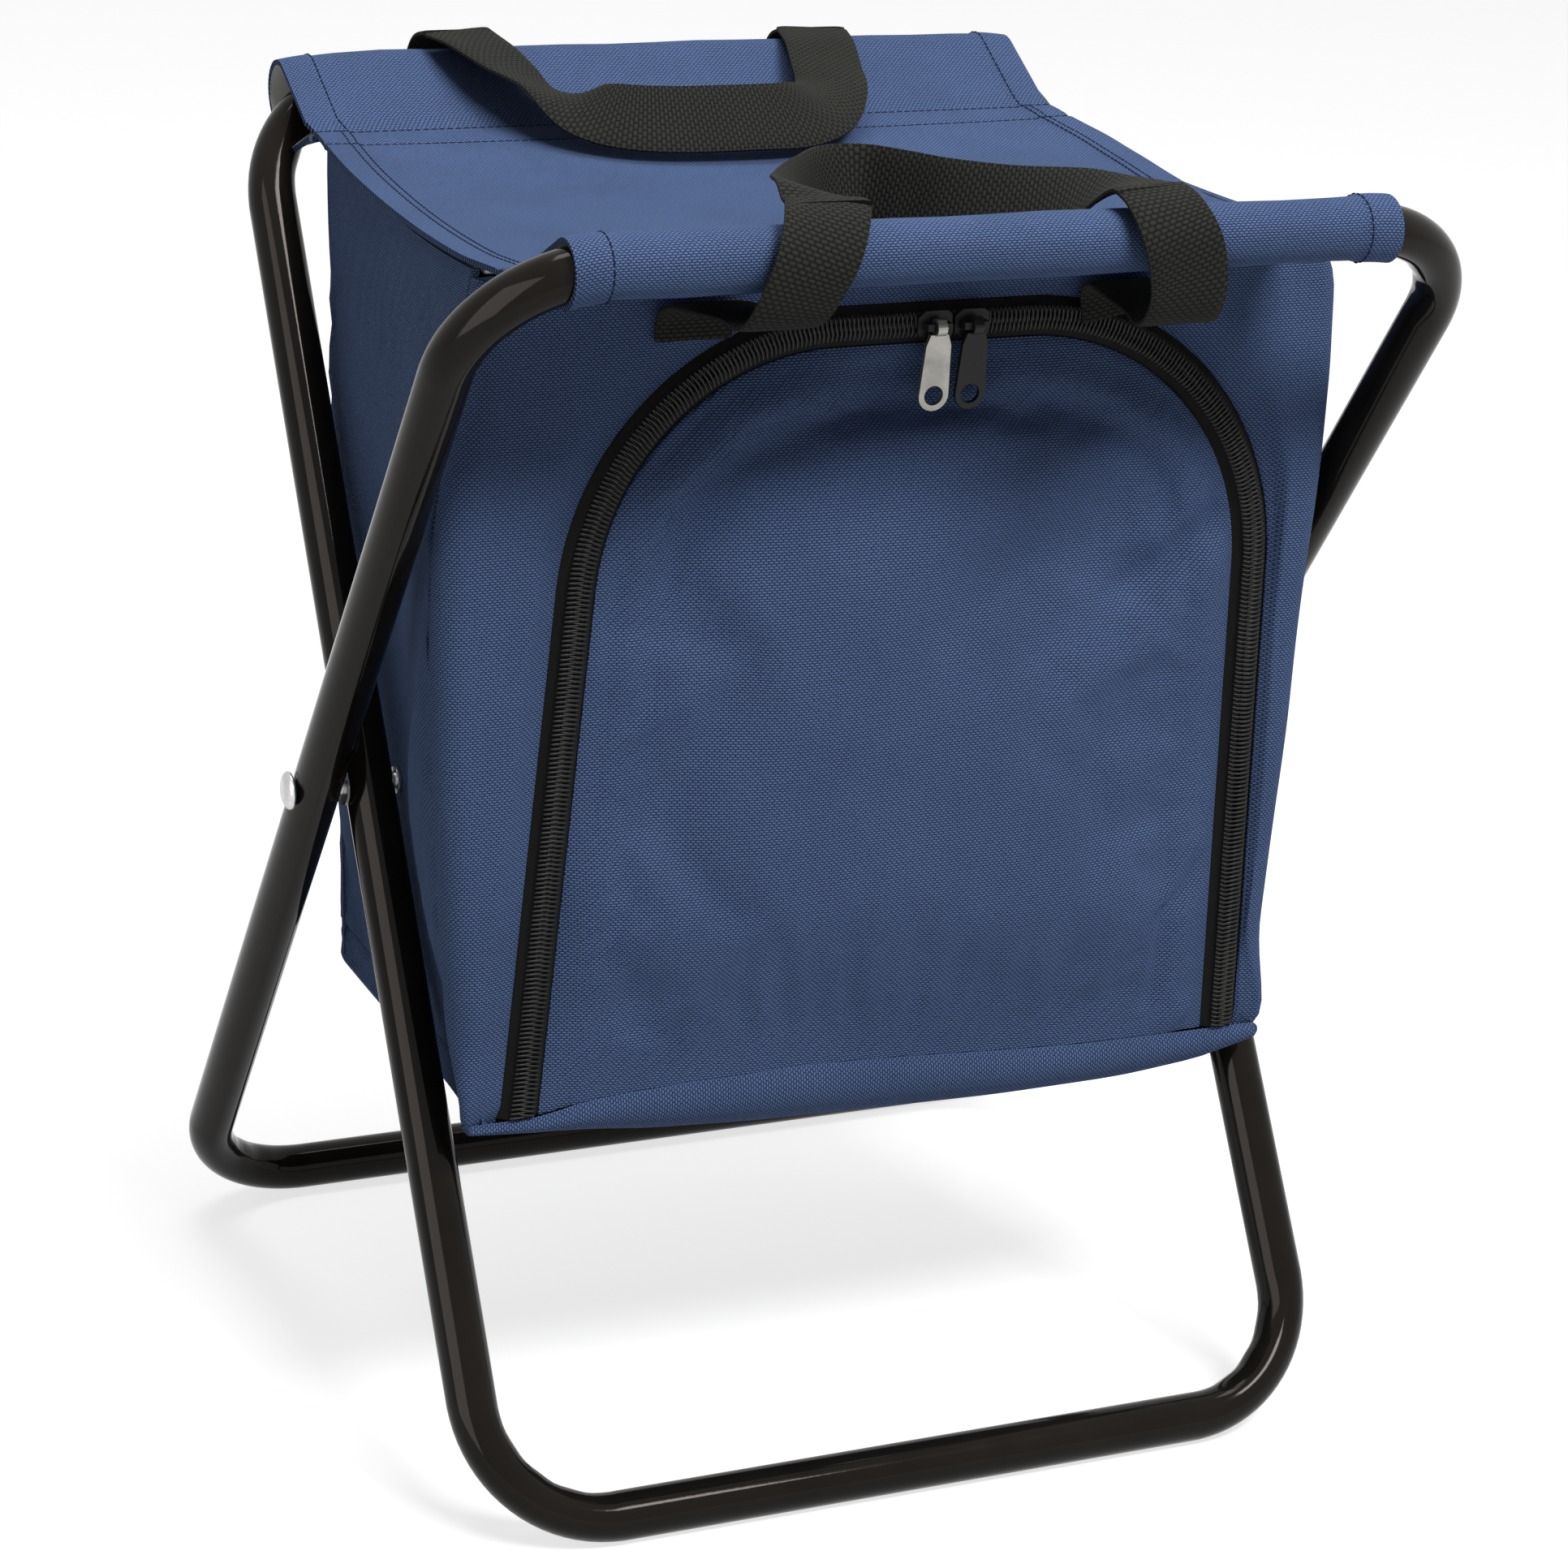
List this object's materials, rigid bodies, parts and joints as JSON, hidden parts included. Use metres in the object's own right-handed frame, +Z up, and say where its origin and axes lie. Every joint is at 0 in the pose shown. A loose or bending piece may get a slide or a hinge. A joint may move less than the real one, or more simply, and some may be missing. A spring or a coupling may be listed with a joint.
{
  "type": "folding cooler stool",
  "caption": "Folding stool of crossed tube loops with a fabric sling seat and an insulated bag with a zipped front flap hung under it.",
  "frame": {"origin": "on the floor under the middle of the open stool, below the line through the two rivets", "axes": "+Z up, X along the rails and the rivets' axis, the bag's zipped front and the outer loop's top rail towards -Y"},
  "size_m": [0.3484, 0.2994, 0.4292],
  "materials": {
    "painted_tube": "glossy black powder coat",
    "zinc_steel": "bright zinc plate",
    "navy_fabric": "woven polyester, coated inside",
    "white_foam": "closed-cell foam",
    "silver_lining": "silvered waterproof film",
    "zip_tape": "woven black tape",
    "zip_coil": "black nylon",
    "gunmetal": "dark plated zinc",
    "black_webbing": "woven black webbing"
  },
  "bodies": {
    "inner_frame": {"inner_tube_loop": "painted_tube", "left_rivet": "zinc_steel", "right_rivet": "zinc_steel", "left_spacer_washer": "zinc_steel", "right_spacer_washer": "zinc_steel", "rear_sleeve": "navy_fabric", "rear_handle_left_strap": "black_webbing", "rear_handle_right_strap": "black_webbing"},
    "outer_frame": {"outer_tube_loop": "painted_tube", "front_sleeve": "navy_fabric", "front_handle_left_strap": "black_webbing", "front_handle_right_strap": "black_webbing"},
    "bag_core": {"seat_panel": "navy_fabric", "left_side_panel": "navy_fabric", "left_side_foam": "white_foam", "left_side_lining": "silver_lining", "right_side_panel": "navy_fabric", "right_side_foam": "white_foam", "right_side_lining": "silver_lining", "bottom_panel": "navy_fabric", "bottom_foam": "white_foam", "bottom_lining": "silver_lining", "top_foam": "white_foam", "top_lining": "silver_lining"},
    "bag_front": {"front_panel": "navy_fabric", "zip_tape_panel": "zip_tape", "zip_coil_panel": "zip_coil"},
    "bag_back": {"back_panel": "navy_fabric", "back_foam": "white_foam", "back_lining": "silver_lining"},
    "flap": {"flap_shell": "navy_fabric", "flap_foam": "white_foam", "flap_lining": "silver_lining", "zip_tape_flap": "zip_tape", "zip_coil_flap": "zip_coil"},
    "left_slider": {"left_zip_slider": "gunmetal"},
    "right_slider": {"right_zip_slider": "gunmetal"},
    "left_pull": {"left_zip_pull": "gunmetal"},
    "right_pull": {"right_zip_pull": "gunmetal"},
    "front_handle": {"front_handle_loop": "black_webbing"},
    "rear_handle": {"rear_handle_loop": "black_webbing"}
  },
  "joints": [
    {"name": "fold", "type": "hinge", "parent": "inner_frame", "child": "outer_frame", "pos_m": [0, 0, 0.21005], "axis": [1, 0, 0], "range_deg": [-50, 0], "deforming": ["seat_panel", "front_sleeve", "rear_sleeve", "front_handle_left_strap", "front_handle_right_strap", "rear_handle_left_strap", "rear_handle_right_strap", "front_handle_loop", "rear_handle_loop", "left_side_panel", "left_side_foam", "left_side_lining", "right_side_panel", "right_side_foam", "right_side_lining", "bottom_panel", "bottom_foam", "bottom_lining", "top_foam", "top_lining"]},
    {"name": "bag_turn", "type": "hinge", "parent": "inner_frame", "child": "bag_core", "pos_m": [0, 0, 0.21005], "axis": [1, 0, 0], "range_deg": [-25, 0]},
    {"name": "back_close", "type": "slide", "parent": "bag_core", "child": "bag_back", "axis": [0, -1, 0], "range_m": [0, 0.045]},
    {"name": "front_close", "type": "slide", "parent": "bag_back", "child": "bag_front", "axis": [0, 1, 0], "range_m": [0, 0.09]},
    {"name": "flap_open", "type": "hinge", "parent": "bag_front", "child": "flap", "pos_m": [0, -0.088, 0.1261], "axis": [1, 0, 0], "range_deg": [0, 110]},
    {"name": "left_zip_run", "type": "slide", "parent": "flap", "child": "left_slider", "axis": [-1, 0, 0], "range_m": [0, 0.028]},
    {"name": "right_zip_run", "type": "slide", "parent": "flap", "child": "right_slider", "axis": [1, 0, 0], "range_m": [0, 0.022]},
    {"name": "left_pull_swing", "type": "hinge", "parent": "left_slider", "child": "left_pull", "pos_m": [0.0082, -0.08088, 0.37324], "axis": [-1, 0, 0], "range_deg": [0, 150]},
    {"name": "right_pull_swing", "type": "hinge", "parent": "right_slider", "child": "right_pull", "pos_m": [0.0207, -0.08088, 0.37324], "axis": [-1, 0, 0], "range_deg": [0, 150]},
    {"name": "front_handle_lift", "type": "hinge", "parent": "outer_frame", "child": "front_handle", "pos_m": [0, -0.1344, 0.4281], "axis": [1, 0, 0], "range_deg": [0, 80]},
    {"name": "rear_handle_lift", "type": "hinge", "parent": "inner_frame", "child": "rear_handle", "pos_m": [0, 0.13218, 0.42477], "axis": [-1, 0, 0], "range_deg": [0, 80]}
  ],
  "couplings": [
    {"joint": "bag_turn", "follows": "fold", "ratio": 0.5},
    {"joint": "back_close", "follows": "fold", "m_per_rad": -0.0515},
    {"joint": "front_close", "follows": "fold", "m_per_rad": -0.103}
  ]
}
